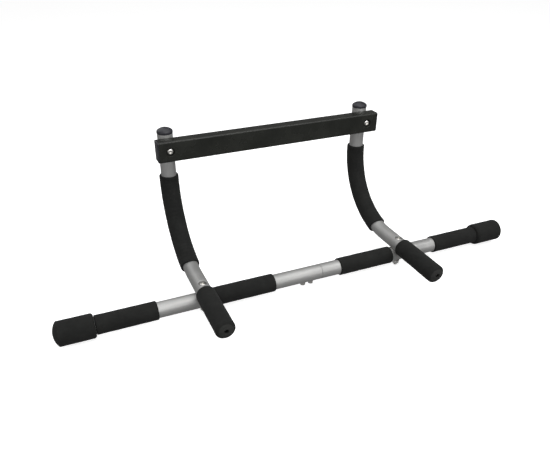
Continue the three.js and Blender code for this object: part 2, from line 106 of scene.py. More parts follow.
SLEEVE_CREEP = 4 * MM  # how much further the sleeve's lower end reaches on the inside of the bend
SLEEVE_CREEP_LENGTH = 28 * MM
PAD_FACE = 11 * MM  # foam over the end of the bar
PAD_DOME = 8 * MM
PAD_EDGE = 3 * MM
PAD_LIP = (5.5 * MM, 4.6 * MM)  # along the bar and outwards
PAD_SPACING = 1.6 * MM
CAP_DOME = 6 * MM
CAP_EDGE = 3.5 * MM
PLUG_WALL = 1.8 * MM
FIT_GAP = 0.3 * MM
FOAM_SWELL = 0.22 * MM  # height of the foam's unevenness
FOAM_SWELLS = 55  # noise scales, per metre
FOAM_DENTS = 190
FOAM_DENT_SHARE = 0.35  # depth of the dents, against the swells
FOAM_SINK = 0.6  # lowers both, so that they stay about inside the box's radius
FOAM_ROUNDING = 2.2 * MM
FOAM_SPACING = 1.6 * MM
BORE_SPACING = 4 * MM
WRINKLE_HEIGHT = 0.16 * MM
WRINKLES = 105  # ripples, in radians for each radian of the bend
WRINKLE_WANDER = 1.7
WRINKLE_WANDER_SCALE = 40

# ---------------------------------------------------------------- places read from the frame


def middle(node):
    low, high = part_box(node)
    return (low + high) / 2


def extent(node):
    low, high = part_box(node)
    return high - low


BAR_Y = middle("main_tube_left").y
BAR_Z = middle("main_tube_left").z
TUBE_RADIUS = extent("main_tube_left").z / 2
TUBE_BORE = TUBE_RADIUS - TUBE_WALL
SOFT_BORE = TUBE_RADIUS + FIT_GAP
SEAM_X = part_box("main_tube_left")[1].x + FIT_GAP / 2
ARM_X = middle("arm_tube_right").x
HANDLE_TIP_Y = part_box("handle_grip_right")[0].y
ARM_TIP_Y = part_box("arm_tube_right")[0].y
ARM_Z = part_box("arm_tube_right")[0].z + TUBE_RADIUS
ARM_TOP_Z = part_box("arm_tube_right")[1].z
UPRIGHT_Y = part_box("arm_tube_right")[1].y - TUBE_RADIUS
BEND_Y = UPRIGHT_Y - BEND_RADIUS
BEND_Z = ARM_Z + BEND_RADIUS
CROSS_Z = middle("cross_bar").z


# ---------------------------------------------------------------- lines that sections run along

UP = (0, 0, 1)
DOWN = (0, 0, -1)
AWAY = (0, 1, 0)
TOWARDS = (0, -1, 0)


def straight_line(origin, along):
    """The frame of a section at a distance along a line on one of the axes: its centre, side and up."""
    along = Vector(along)
    up = Vector(AWAY if abs(along.z) > 0.5 else UP)
    side = up.cross(along)

    def at(distance):
        return Vector(origin) + along * distance, side, up

    return at


def bar_line():
    return straight_line((0, BAR_Y, BAR_Z), (1, 0, 0))


def hook_line(x):
    """The arm's centre line. Zero is where the bend starts; the lower leg has distances below zero."""
    quarter = BEND_RADIUS * math.pi / 2

    def at(distance):
        turn = min(max(distance, 0), quarter) / BEND_RADIUS
        y = BEND_Y + BEND_RADIUS * math.sin(turn) + min(distance, 0)
        z = BEND_Z - BEND_RADIUS * math.cos(turn) + max(distance - quarter, 0)
        return Vector((x, y, z)), Vector((1, 0, 0)), Vector((0, -math.sin(turn), math.cos(turn)))

    return at


def spaced(start, end, spacing):
    """Values from start to end, both included, no further apart than spacing."""
    count = max(1, math.ceil(abs(end - start) / spacing))
    return [start + (end - start) * i / count for i in range(count + 1)]


def arc(centre, size, from_degrees, to_degrees, steps=6):
    """Points (distance, radius) on an ellipse: 0 degrees points along the line, 90 away from it."""
    points = []
    for degrees in spaced(from_degrees, to_degrees, abs(to_degrees - from_degrees) / steps):
        angle = math.radians(degrees)
        points.append((centre[0] + size[0] * math.cos(angle), centre[1] + size[1] * math.sin(angle)))
    return points


def between(first, last, radius, spacing):
    """Points of a straight side, which join two points of a profile without repeating them."""
    return [(distance, radius) for distance in spaced(first[0], last[0], spacing)[1:-1]]


# ---------------------------------------------------------------- meshes


SHARP_ANGLE = math.radians(32)


def shade(mesh):
    mesh.shade_smooth()
    mesh.set_sharp_from_angle(angle=SHARP_ANGLE)


def finished_mesh(name, bm):
    bmesh.ops.recalc_face_normals(bm, faces=bm.faces)
    mesh = bpy.data.meshes.new(name)
    bm.to_mesh(mesh)
    bm.free()
    shade(mesh)
    piece = bpy.data.objects.new(name, mesh)
    bpy.context.scene.collection.objects.link(piece)
    return piece


def skin(name, line, profile, sides=SIDES, closed=False, shape=None):
    """A closed skin round a line, through rings at (distance, radius) pairs. A zero radius is a pole,
    and a closed profile joins its last ring to its first, as a tube with a bore does."""
    bm = bmesh.new()
    rings = []
    for distance, radius in profile:
        centre, side, up = line(distance)
        if radius == 0:
            rings.append([bm.verts.new(centre)])
            continue
        ring = []
        for i in range(sides):
            angle = 2 * math.pi * i / sides
            point = centre + side * (radius * math.cos(angle)) + up * (radius * math.sin(angle))
            ring.append(bm.verts.new(shape(point, centre) if shape else point))
        rings.append(ring)
    pairs = list(zip(rings, rings[1:]))
    if closed:
        pairs.append((rings[-1], rings[0]))
    for first, second in pairs:
        for i in range(sides):
            j = (i + 1) % sides
            if len(first) == 1:
                bm.faces.new((first[0], second[i], second[j]))
            elif len(second) == 1:
                bm.faces.new((first[i], second[0], first[j]))
            else:
                bm.faces.new((first[i], second[i], second[j], first[j]))
    return finished_mesh(name, bm)


def prism(name, outline, start, along):
    """A straight prism over an outline of points, closed at both ends."""
    bm = bmesh.new()
    near = [bm.verts.new(Vector(point) + Vector(start)) for point in outline]
    far = [bm.verts.new(Vector(point) + Vector(start) + Vector(along)) for point in outline]
    bm.faces.new(near)
    bm.faces.new(list(reversed(far)))
    for i in range(len(near)):
        j = (i + 1) % len(near)
        bm.faces.new((near[i], far[i], far[j], near[j]))
    return finished_mesh(name, bm)


def combine(piece, tools, operation="DIFFERENCE"):
    """Cuts or joins closed pieces into one, then removes the tools."""
    for tool in tools:
        modifier = piece.modifiers.new("combine", "BOOLEAN")
        modifier.operation = operation
        modifier.solver = "MANIFOLD"
        modifier.object = tool
    depsgraph = bpy.context.evaluated_depsgraph_get()
    mesh = bpy.data.meshes.new_from_object(piece.evaluated_get(depsgraph), depsgraph=depsgraph)
    piece.modifiers.clear()
    piece.data = mesh
    shade(mesh)
    for tool in tools:
        bpy.data.objects.remove(tool)
    return piece


def drill(radius, start, end, lip=None, sides=48):
    """A cutter from start to end. A lip is (width, drop): the mouth at start flares by that width, and
    drop says how far a point of the flare sinks to follow a rounded surface."""
    start = Vector(start)
    span = Vector(end) - start
    along = span.normalized()
    mouth = [(0, 0), (0, radius)]
    shape = None
    if lip:
        width, drop = lip
        flare = arc((width, radius + width), (-width, -width), 0, 90)
        mouth = [(-LIP_REACH, 0), (-LIP_REACH, radius + width), *flare]

        def shape(point, centre):
            near_mouth = (centre - start).dot(along) <= width
            return point + along * drop(point - centre) if near_mouth else point

    profile = [*mouth, (span.length, radius), (span.length, 0)]
    return skin("cutter", straight_line(start, along), profile, sides, shape=shape)


def hexagon(across_flats, along):
    """Corners of a hexagon about zero, square to a direction."""
    _, side, up = straight_line((0, 0, 0), along)(0)
    corner = across_flats / math.sqrt(3)
    angles = [math.pi * i / 3 for i in range(6)]
    return [side * (corner * math.cos(a)) + up * (corner * math.sin(a)) for a in angles]


# ---------------------------------------------------------------- materials


class Finish:
    """A material's node tree, with short calls that add a node or link two sockets."""

    def __init__(self, name, colour, metallic, roughness, **uniform):
        self.material = bpy.data.materials.new(name)
        self.material.use_nodes = True
        self.tree = self.material.node_tree
        self.shader = self.tree.nodes["Principled BSDF"]
        self.shader.inputs["Base Color"].default_value = (*colour, 1)
        self.shader.inputs["Metallic"].default_value = metallic
        self.shader.inputs["Roughness"].default_value = roughness
        for socket, value in uniform.items():
            self.shader.inputs[socket.replace("_", " ")].default_value = value
        self.place = self.add("ShaderNodeTexCoord").outputs["Object"]
        self.material.diffuse_color = (*colour, 1)

    def add(self, kind, **values):
        node = self.tree.nodes.new(kind)
        for key, value in values.items():
            setattr(node, key, value)
        return node

    def link(self, output, target):
        self.tree.links.new(output, target)

    def stretched(self, scale):
        node = self.add("ShaderNodeMapping")
        node.inputs["Scale"].default_value = scale
        self.link(self.place, node.inputs["Vector"])
        return node.outputs["Vector"]

    def noise(self, scale, detail=2.0, roughness=0.5, place=None):
        node = self.add("ShaderNodeTexNoise")
        node.inputs["Scale"].default_value = scale
        node.inputs["Detail"].default_value = detail
        node.inputs["Roughness"].default_value = roughness
        self.link(place or self.place, node.inputs["Vector"])
        return node.outputs["Fac"]

    def along(self, axis):
        """The surface's own coordinate on one of the frame's axes, in metres."""
        node = self.add("ShaderNodeSeparateXYZ")
        self.link(self.place, node.inputs["Vector"])
        return node.outputs[axis]

    def cells(self, scale):
        node = self.add("ShaderNodeTexVoronoi", feature="SMOOTH_F1")
        node.inputs["Scale"].default_value = scale
        self.link(self.place, node.inputs["Vector"])
        return node.outputs["Distance"]

    def spread(self, value, low, high, to_low, to_high):
        """The value with its stretch from low to high taken onto another stretch, and clamped there."""
        node = self.add("ShaderNodeMapRange")
        node.inputs["From Min"].default_value = low
        node.inputs["From Max"].default_value = high
        node.inputs["To Min"].default_value = to_low
        node.inputs["To Max"].default_value = to_high
        self.link(value, node.inputs["Value"])
        return node.outputs["Result"]

    def maths(self, operation, first, second):
        node = self.add("ShaderNodeMath", operation=operation)
        for socket, value in zip(node.inputs, (first, second)):
            if isinstance(value, (int, float)):
                socket.default_value = value
            else:
                self.link(value, socket)
        return node.outputs["Value"]

    def colour_between(self, factor, low, high):
        node = self.add("ShaderNodeMix", data_type="RGBA", clamp_factor=False)
        node.inputs["A"].default_value = (*low, 1)
        node.inputs["B"].default_value = (*high, 1)
        self.link(factor, node.inputs["Factor"])
        colour = next(output for output in node.outputs if output.type == "RGBA")
        self.link(colour, self.shader.inputs["Base Color"])

    def set_roughness(self, value):
        self.link(value, self.shader.inputs["Roughness"])

    def bumps(self, *layers):
        """Each layer is (height, strength, distance), from the coarsest to the finest."""
        normal = None
        for height, strength, distance in layers:
            node = self.add("ShaderNodeBump")
            node.inputs["Strength"].default_value = strength
            node.inputs["Distance"].default_value = distance
            self.link(height, node.inputs["Height"])
            if normal:
                self.link(normal, node.inputs["Normal"])
            normal = node.outputs["Normal"]
        self.link(normal, self.shader.inputs["Normal"])


def silver_paint():
    """Silver powder coat: a metallic flake under a soft satin skin with a faint orange peel."""
    skin_coat = {"Coat_Weight": 0.12, "Coat_Roughness": 0.3}
    finish = Finish("silver_paint", (0.46, 0.46, 0.45), 0.64, 0.47, **skin_coat)
    flake = finish.noise(2600, 1.0)
    cloud = finish.noise(22, 3.0)
    scuffs = finish.noise(60, 4.0, 0.65)
    flake_tone = finish.spread(flake, 0.3, 0.7, 0, 0.6)
    cloud_tone = finish.spread(cloud, 0.35, 0.65, 0, 0.4)
    tone = finish.maths("ADD", flake_tone, cloud_tone)
    finish.colour_between(tone, (0.38, 0.38, 0.373), (0.51, 0.51, 0.50))
    worn = finish.spread(scuffs, 0.55, 0.75, 0, 0.1)
    finish.set_roughness(finish.maths("ADD", finish.spread(flake, 0.3, 0.7, 0.45, 0.53), worn))
    finish.bumps((finish.noise(420, 1.0), 0.12, 0.2 * MM), (flake, 0.10, 0.05 * MM))
    return finish.material


def foam():
    """Black closed-cell foam: a matte skin with fine pores, faint mottling and soft dents. The closed
    ends of the handle grips are coloured lighter: a painted highlight for the light on their domes, partly
    also a greyer skin."""
    matte = {"Specular_IOR_Level": 0.2, "Sheen_Weight": 0.04, "Sheen_Roughness": 0.5}
    finish = Finish("foam", (0.015, 0.0155, 0.015), 0.0, 0.85, **matte)
    pores = finish.cells(1500)
    grain = finish.noise(900, 3.0, 0.6)
    mottle = finish.noise(45, 3.0, 0.6)
    mottle_tone = finish.spread(mottle, 0.3, 0.7, 0, 0.55)
    grain_tone = finish.spread(grain, 0.3, 0.7, 0, 0.45)
    # painted highlight: the closed end of each handle grip is coloured lighter to stand in for the light on
    # its dome, partly also a greyer moulded skin
    skin_highlight_edge = HANDLE_TIP_Y + HANDLE_SKIN_HIGHLIGHT_DEPTH
    skin_highlight_start = skin_highlight_edge - HANDLE_SKIN_HIGHLIGHT_BLEND
    skin_and_highlight_tone = finish.spread(finish.along("Y"), skin_highlight_edge, skin_highlight_start, 0, HANDLE_SKIN_HIGHLIGHT_LIFT)
    tone = finish.maths("ADD", finish.maths("ADD", mottle_tone, grain_tone), skin_and_highlight_tone)
    finish.colour_between(tone, (0.0080, 0.0084, 0.0079), (0.0176, 0.0181, 0.0170))
    finish.set_roughness(finish.spread(grain, 0.3, 0.7, 0.72, 0.95))
    finish.bumps((mottle, 0.25, 0.5 * MM), (grain, 0.35, 0.15 * MM), (pores, 0.45, 0.12 * MM))
    return finish.material


def black_paint():
    """Satin black powder coat with a fine orange peel, rubbed a little glossier in places."""
    finish = Finish("black_paint", (0.015, 0.015, 0.014), 0.0, 0.28, Specular_IOR_Level=0.35)
    peel = finish.noise(520, 2.0)
    cloud = finish.noise(30, 3.0)
    tone = finish.spread(cloud, 0.3, 0.7, 0, 1)
    finish.colour_between(tone, (0.0124, 0.0134, 0.0111), (0.0208, 0.0220, 0.0185))
    finish.set_roughness(finish.spread(cloud, 0.3, 0.7, 0.22, 0.31))
    finish.bumps((peel, 0.22, 0.12 * MM), (finish.noise(2400, 1.0), 0.10, 0.04 * MM))
    return finish.material


def black_plastic():
    """Moulded plastic with a slightly blue cast and a fine spark-eroded grain."""
    finish = Finish("black_plastic", (0.016, 0.016, 0.021), 0.0, 0.42, Specular_IOR_Level=0.5)
    grain = finish.noise(1800, 3.0, 0.6)
    cloud = finish.noise(70, 3.0)
    finish.colour_between(finish.spread(cloud, 0.3, 0.7, 0, 1), (0.014, 0.014, 0.0185), (0.026, 0.026, 0.034))
    finish.set_roughness(finish.spread(grain, 0.3, 0.7, 0.36, 0.52))
    finish.bumps((grain, 0.3, 0.08 * MM))
    return finish.material


def zinc_steel():
    """Bright zinc plate on steel, with a fine brushed grain and slightly dull patches."""
    finish = Finish("zinc_steel", (0.80, 0.79, 0.76), 1.0, 0.22)
    patches = finish.noise(260, 3.0)
    grain = finish.noise(1400, 2.0, 0.5, finish.stretched((1.0, 1.0, 3.0)))
    finish.colour_between(finish.spread(patches, 0.3, 0.7, 0, 1), (0.70, 0.69, 0.65), (0.90, 0.89, 0.86))
    finish.set_roughness(finish.spread(grain, 0.3, 0.7, 0.15, 0.3))
    finish.bumps((grain, 0.15, 0.05 * MM))
    return finish.material


MAKERS = (silver_paint, foam, black_paint, black_plastic, zinc_steel)
FINISHES = {make.__name__: make() for make in MAKERS}


def stand_in(piece, slot, node):
    """The piece takes a CAD node's place, rides on its body and gets its slot's finish."""
    piece.data.materials.clear()
    piece.data.materials.append(FINISHES[slot])
    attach(piece, "root")
    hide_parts(node)


# ---------------------------------------------------------------- main bar


def bar_tube_drills(sign):
    x = sign * ARM_X
    return [drill(M8_HOLE, (x, BAR_Y, BAR_Z + 2 * TUBE_RADIUS), (x, BAR_Y, BAR_Z - 2 * TUBE_RADIUS))]


def joint_drills():
    drills = []
    for side in SIDE_SIGNS:
        x = middle(f"joint_bolt_{side}").x
        drills.append(drill(M6_HOLE, (x, BAR_Y, BAR_Z), (x, BAR_Y, BAR_Z - 2 * TUBE_RADIUS)))
    return drills


def tube_side(start, end):
    """Rings along a tube from one rounded edge to the other. The first and last stretch are short, so
    that the edges' shading doesn't run along the tube."""
    edge = TUBE_EDGE
    first = arc((start + edge, TUBE_RADIUS - edge), (edge, edge), 180, 90, 3)
    last = arc((end - edge, TUBE_RADIUS - edge), (edge, edge), 90, 0, 3)
    middle_part = spaced(start + 2 * edge, end - 2 * edge, RING_SPACING)
    side = [(distance, TUBE_RADIUS) for distance in middle_part]
    return [*first, *side, *last]


def main_tube_left():
    low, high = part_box("main_tube_left")
    profile = [(low.x, TUBE_BORE), *tube_side(low.x, high.x), (high.x, TUBE_BORE)]
    tube = skin("main_tube_left_fine", bar_line(), profile, closed=True)
    return combine(tube, [*bar_tube_drills(-1), *joint_drills()])


def main_tube_right():
    """The right half is swaged down into a spigot, which slides into the left half."""
    low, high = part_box("main_tube_right")
    shoulder = SEAM_X + FIT_GAP / 2
    spigot = TUBE_BORE - FIT_GAP
    edge = TUBE_EDGE
    profile = [
        (low.x, spigot - SPIGOT_WALL),
        *arc((low.x + edge, spigot - edge), (edge, edge), 180, 90, 3),
        (shoulder, spigot),
        *tube_side(shoulder, high.x),
        (high.x, TUBE_BORE),
        (shoulder + SWAGE_END, TUBE_BORE),
        (shoulder + SWAGE_START, spigot - SPIGOT_WALL),
    ]
    tube = skin("main_tube_right_fine", bar_line(), profile, closed=True)
    return combine(tube, [*bar_tube_drills(1), *joint_drills()])


# ---------------------------------------------------------------- hook arms


def over_the_bar(clearance):
    """A shape that lifts an arm's underside clear of the bar that it lies across."""

    def shape(point, centre):
        y = point.y - BAR_Y
        z = point.z - BAR_Z
        if abs(y) >= clearance:
            return point
        bed = math.sqrt(clearance**2 - y**2)
        blend = max(SADDLE_BLEND - abs(z - bed), 0) / SADDLE_BLEND
        lifted = max(z, bed) + blend**2 * SADDLE_BLEND / 4
        return Vector((point.x, point.y, BAR_Z + lifted))

    return shape


def arm_stations(start, end):
    """Distances along the hook, close together over the bar and round the bend."""
    crossing = BAR_Y - BEND_Y
    near = SADDLE_HALF_WIDTH
    quarter = BEND_RADIUS * math.pi / 2
    marks = [start, crossing - near, crossing + near, 0, quarter, end]
    gaps = [RING_SPACING, SADDLE_SPACING, RING_SPACING, BEND_SPACING, RING_SPACING]
    stations = [start]
    for first, second, gap in zip(marks, marks[1:], gaps):
        stations += spaced(first, second, gap)[1:]
    return stations


def crest_drop(offset):
    """How far a round tube's crest falls away at a sideways offset from its middle."""
    return TUBE_RADIUS - math.sqrt(max(TUBE_RADIUS**2 - offset.x**2, 0))


def arm_tube(side, sign):
    x = sign * ARM_X
    line = hook_line(x)
    start = ARM_TIP_Y - BEND_Y
    end = BEND_RADIUS * math.pi / 2 + ARM_TOP_Z - BEND_Z
    edge = TUBE_EDGE
    outside = [(start, 0), *arc((start + edge, TUBE_RADIUS - edge), (edge, edge), 180, 90, 3)]
    outside += [(distance, TUBE_RADIUS) for distance in arm_stations(start + 2 * edge, end - 2 * edge)]
    outside += [*arc((end - edge, TUBE_RADIUS - edge), (edge, edge), 90, 0, 3), (end, 0)]
    inside = [(start - TOOL_PAST, 0), (start - TOOL_PAST, TUBE_BORE)]
    inside += [(distance, TUBE_BORE) for distance in arm_stations(start, end)]
    inside += [(end + TOOL_PAST, TUBE_BORE), (end + TOOL_PAST, 0)]
    tube = skin(f"arm_tube_{side}_fine", line, outside, shape=over_the_bar(SOFT_BORE))
    bore = skin("bore", line, inside, shape=over_the_bar(SOFT_BORE + TUBE_WALL))
    crest = ARM_Z + TUBE_RADIUS
    cup_floor = crest - ARM_CUP_DEPTH
    cup_top = (x, BAR_Y, crest + TOOL_PAST)
    cup = drill(ARM_CUP_RADIUS + TUBE_WALL, cup_top, (x, BAR_Y, cup_floor - TUBE_WALL))
    combine(bore, [cup])
    mouth = drill(ARM_CUP_RADIUS, (x, BAR_Y, crest), (x, BAR_Y, cup_floor), (CUP_LIP, crest_drop))
    bolt_hole = drill(M8_HOLE, (x, BAR_Y, crest), (x, BAR_Y, BAR_Z))
    in_front = (x, UPRIGHT_Y - 2 * TUBE_RADIUS, CROSS_Z)
    behind = (x, UPRIGHT_Y + 2 * TUBE_RADIUS, CROSS_Z)
    cross_hole = drill(M8_HOLE, in_front, behind)
    return combine(tube, [bore, mouth, bolt_hole, cross_hole])


# ---------------------------------------------------------------- foam


def foam_surface(point, centre, seed, shape=None):
    """Soft foam is never quite round: slow swells and small dents, along the radius."""
    away = point - centre
    radius = away.length
    swell = noise.noise(point * FOAM_SWELLS + Vector((seed, 0, 0)))
    dent = noise.noise(point * FOAM_DENTS + Vector((0, seed, 0)))
    moved = point + away / radius * FOAM_SWELL * (swell + FOAM_DENT_SHARE * dent - FOAM_SINK)
    return shape(moved, centre) if shape else moved


def soft_shape(seed, shape=None):
    """Leaves the bore round and roughens the rest."""

    def moved(point, centre):
        if (point - centre).length < SOFT_BORE + HAIR:
            return point
        return foam_surface(point, centre, seed, shape=shape)

    return moved


def foam_tube(name, line, start, end, radius, seed, shape=None):
    """A foam sleeve with softly rounded ends."""
    edge = FOAM_ROUNDING
    first = arc((start + edge, radius - edge), (edge, edge), 180, 90)
    last = arc((end - edge, radius - edge), (edge, edge), 90, 0)
    outside = between(first[-1], last[0], radius, FOAM_SPACING)
    profile = [(start, SOFT_BORE), *first, *outside, *last, (end, SOFT_BORE)]
    bore = [(distance, SOFT_BORE) for distance in spaced(end, start, BORE_SPACING)[1:-1]]
    return skin(name, line, profile + bore, closed=True, shape=soft_shape(seed, shape))


def bar_grip(node, seed):
    low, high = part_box(node)
    return foam_tube(f"{node}_fine", bar_line(), low.x, high.x, (high.z - low.z) / 2, seed)


def domed_end(tip, way, radius, dome, rounding, hole=0.0):
    """The closed end of a pad, grip or cap, from its side to its middle or the hole there: a rounded
    edge, then a shallow dome that would peak at the tip."""
    sphere = (radius**2 + dome**2) / (2 * dome)
    edge_centre = math.sqrt((sphere - rounding) ** 2 - (radius - rounding) ** 2)
    edge_degrees = math.degrees(math.asin((radius - rounding) / (sphere - rounding)))
    hole_degrees = math.degrees(math.asin(hole / sphere))
    points = arc((edge_centre, radius - rounding), (rounding, rounding), 90, edge_degrees, 7)
    points += arc((0, 0), (sphere, sphere), edge_degrees, hole_degrees, 14)[1:]
    return [(tip + way * (distance - sphere), r) for distance, r in points]


def end_pad(side, sign, seed):
    """A thick closed foam pad: a domed outer end and a softly tapered lip where the grip goes in."""
    node = f"end_pad_{side}"
    low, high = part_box(node)
    radius = (high.z - low.z) / 2
    tip, mouth = (high.x, low.x) if sign > 0 else (low.x, high.x)
    lip_length, lip_height = PAD_LIP
    lip_centre = (mouth + sign * lip_length, radius - lip_height)
    lip = arc(lip_centre, PAD_LIP, 180 if sign > 0 else 0, 90, 8)
    end = domed_end(tip, sign, radius, PAD_DOME, PAD_EDGE)
    outside = [(mouth, SOFT_BORE), *lip, *between(lip[-1], end[0], radius, PAD_SPACING), *end]
    inner = tip - sign * PAD_FACE
    bore = [(distance, SOFT_BORE) for distance in spaced(inner, mouth, BORE_SPACING)[:-1]]
    profile = [(inner, 0), *bore, *outside]
    return skin(f"{node}_fine", bar_line(), profile, shape=soft_shape(seed))


def handle_grip(side, sign, seed):
    """A closed foam grip with a vent hole in its domed end, its mouth just short of the bar."""
    node = f"handle_grip_{side}"
    low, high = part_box(node)
    radius = (high.x - low.x) / 2
    mouth = high.y - BEND_Y
    tip = low.y - BEND_Y
    lip_length, lip_height = HANDLE_LIP
    lip = arc((mouth - lip_length, radius - lip_height), HANDLE_LIP, 0, 90)
    vent_lip = HANDLE_VENT_LIP
    vent_mouth = HANDLE_VENT_RADIUS + vent_lip
    end = domed_end(tip, -1, radius, HANDLE_DOME, HANDLE_EDGE, vent_mouth)
    vent = arc((end[-1][0] + vent_lip, vent_mouth), (vent_lip, vent_lip), 180, 270, 4)[1:]
    inner = tip + HANDLE_FACE
    bore = [(distance, SOFT_BORE) for distance in spaced(inner, mouth, HANDLE_BORE_SPACING)[:-1]]
    side_rings = between(lip[-1], end[0], radius, HANDLE_SPACING)
    profile = [(mouth, SOFT_BORE), *lip, *side_rings, *end, *vent, (inner, HANDLE_VENT_RADIUS), *bore]
    line = hook_line(sign * ARM_X)
    return skin(f"{node}_fine", line, profile, closed=True, shape=soft_shape(seed))


def arm_sleeve(side, sign, seed):
    """Curved foam over the bend, pressed together on the inside of the curve: it has faint wrinkles
    there, and its lower end creeps a little way along the arm."""
    node = f"arm_sleeve_{side}"
    low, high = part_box(node)
    radius = (high.x - low.x) / 2
    quarter = BEND_RADIUS * math.pi / 2
    line = hook_line(sign * ARM_X)
    start = BEND_RADIUS * math.asin((low.y - BEND_Y) / (BEND_RADIUS - radius))
    end = quarter + high.z - BEND_Z
    bend_centre = Vector((sign * ARM_X, BEND_Y, BEND_Z))

    def bend_turn(point):
        return math.atan2(point.y - BEND_Y, BEND_Z - point.z)

    def inside_share(point, centre):
        away = (point - centre).normalized()
        return max(away.dot((bend_centre - centre).normalized()), 0) ** 2

    def wrinkled(point, centre):
        wander = noise.noise(centre * WRINKLE_WANDER_SCALE + Vector((seed, 0, 0)))
        ripple = math.sin(bend_turn(centre) * WRINKLES + WRINKLE_WANDER * wander)
        height = WRINKLE_HEIGHT * inside_share(point, centre) * ripple
        return point + (point - centre).normalized() * height

    sleeve = foam_tube(f"{node}_fine", line, start, end, radius, seed, wrinkled)
    for vertex in sleeve.data.vertices:
        turn = bend_turn(vertex.co)
        centre, _, up = line(turn * BEND_RADIUS)
        near_end = max(1 - (turn * BEND_RADIUS - start) / SLEEVE_CREEP_LENGTH, 0) ** 2
        towards_tip = Vector((0, -up.z, up.y))
        vertex.co += towards_tip * (SLEEVE_CREEP * near_end * inside_share(vertex.co, centre))
    return sleeve


# ---------------------------------------------------------------- plastic caps and the cross bar

PIP_RADIUS = 1.2 * MM  # the mould's pip in the middle of a cap, in a small dimple
DIMPLE_DEPTH = 0.5 * MM
PIP_DEPTH = 0.15 * MM
PIP_EDGE_DEPTH = 0.2 * MM
PLUG_ROOT = 0.6 * MM
PLUG_EDGE = 0.4 * MM
END_CAP_LIP = (0.2 * MM, 0.15 * MM)
TIGHT_CORNER = 0.5 * MM


def top_cap(side):
    """A round domed cap with a narrow flange and, in its middle, the dimple and pip of its mould."""
    node = f"top_cap_{side}"
    low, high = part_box(node)
    centre = middle(node)
    radius = extent(node).x / 2
    body = TUBE_BORE - FIT_GAP
    flange = ARM_TOP_Z + FIT_GAP
    root = flange - PLUG_ROOT
    edge = PLUG_EDGE
    profile = [
        (root, 0),
        (root, body - PLUG_WALL),
        (low.z, body - PLUG_WALL),
        (low.z, body - edge),
        (low.z + 2 * edge, body),
        (flange, body),
        *arc((flange + edge, radius - edge), (edge, edge), 180, 90, 3),
        *domed_end(high.z, 1, radius, CAP_DOME, CAP_EDGE, 2 * PIP_RADIUS),
        (high.z - DIMPLE_DEPTH, 1.8 * PIP_RADIUS),
        (high.z - DIMPLE_DEPTH, 1.2 * PIP_RADIUS),
        (high.z - PIP_EDGE_DEPTH, PIP_RADIUS),
        (high.z - PIP_DEPTH, 0),
    ]
    return skin(f"{node}_fine", straight_line((centre.x, centre.y, 0), UP), profile)


def rounded_section(shrink, steps=8):
    """The cross bar's rounded rectangle in Y and Z, about zero and shrunk all round."""
    _, width, height = extent("cross_bar") / 2
    corner = max(CROSS_CORNER - shrink, TIGHT_CORNER)
    inset = shrink + corner
    points = []
    for quadrant in range(4):
        sy = 1 if quadrant in (0, 3) else -1
        sz = 1 if quadrant in (0, 1) else -1
        for i in range(steps + 1):
            angle = math.radians(90 * quadrant + 90 * i / steps)
            y = sy * (width - inset) + corner * math.cos(angle)
            z = sz * (height - inset) + corner * math.sin(angle)
            points.append(Vector((0, y, z)))
    return points


def flat_faces(piece):
    """Keeps large flat faces flat beside rounded edges."""
    modifier = piece.modifiers.new("flat_faces", "WEIGHTED_NORMAL")
    modifier.keep_sharp = True
    modifier.weight = 100


def cross_bar():
    """The rectangular tube with its rounded edges, bolt recesses and seats for the uprights."""
    low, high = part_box("cross_bar")
    centre = middle("cross_bar")
    start = Vector((low.x, centre.y, centre.z))
    along = Vector((high.x - low.x, 0, 0))
    past = Vector((TOOL_PAST, 0, 0))
    bar = prism("cross_bar_fine", rounded_section(0), start, along)
    bore = prism("bore", rounded_section(TUBE_WALL), start - past, along + 2 * past)
    fillings = []
    cutters = []
    for sign in SIDE_SIGNS.values():
        x = sign * ARM_X
        below = (x, UPRIGHT_Y, centre.z - TOOL_REACH)
        above = (x, UPRIGHT_Y, centre.z + TOOL_REACH)
        mouth = (x, low.y, centre.z)
        floor = (x, low.y + CROSS_CUP_DEPTH, centre.z)
        filled_from = (x, low.y - TOOL_PAST, centre.z)
        filled_to = (x, low.y + CROSS_CUP_DEPTH + TUBE_WALL, centre.z)
        fillings.append(drill(SOFT_BORE + TUBE_WALL, below, above, sides=SIDES))
        fillings.append(drill(CROSS_CUP_RADIUS + TUBE_WALL, filled_from, filled_to))
        cutters.append(drill(SOFT_BORE, below, above, sides=SIDES))
        cutters.append(drill(CROSS_CUP_RADIUS, mouth, floor, (CUP_LIP, lambda offset: 0.0)))
        cutters.append(drill(M8_HOLE, mouth, (x, UPRIGHT_Y, centre.z)))
    combine(bore, fillings)
    combine(bar, [bore, *cutters])
    flat_faces(bar)
    return bar


def cross_bar_end_cap(side, sign):
    """A moulded cap over the cross bar's end: a rounded, slightly bulged face and a hollow plug."""
    node = f"cross_bar_end_cap_{side}"
    low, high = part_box(node)
    centre = middle(node)
    outer, inner = (high.x, low.x) if sign > 0 else (low.x, high.x)
    seat = outer - sign * END_CAP_THICKNESS
    lip_width, lip_inset = END_CAP_LIP
    inset = TUBE_WALL + FIT_GAP
    sections = [(inner, inset), (seat, inset), (seat, lip_inset), (seat + sign * lip_width, 0)]
    sections += arc((outer - sign * END_CAP_ROUND, END_CAP_ROUND),
                    (sign * END_CAP_ROUND, -END_CAP_ROUND), 90, 0)
    bm = bmesh.new()

    def ring(x, shrink):
        place = Vector((x, centre.y, centre.z))
        return [bm.verts.new(point + place) for point in rounded_section(shrink, 6)]

    floor = ring(seat, inset + PLUG_WALL)
    mouth = ring(inner, inset + PLUG_WALL)
    rings = [floor, mouth, *(ring(x, shrink) for x, shrink in sections)]
    bm.faces.new(list(reversed(floor)))
    bm.faces.new(rings[-1])
    for first, second in zip(rings, rings[1:]):
        for i in range(len(first)):
            j = (i + 1) % len(first)
            bm.faces.new((first[i], second[i], second[j], first[j]))
    cap = finished_mesh(f"{node}_fine", bm)
    flat_faces(cap)
    return cap


# ---------------------------------------------------------------- fasteners

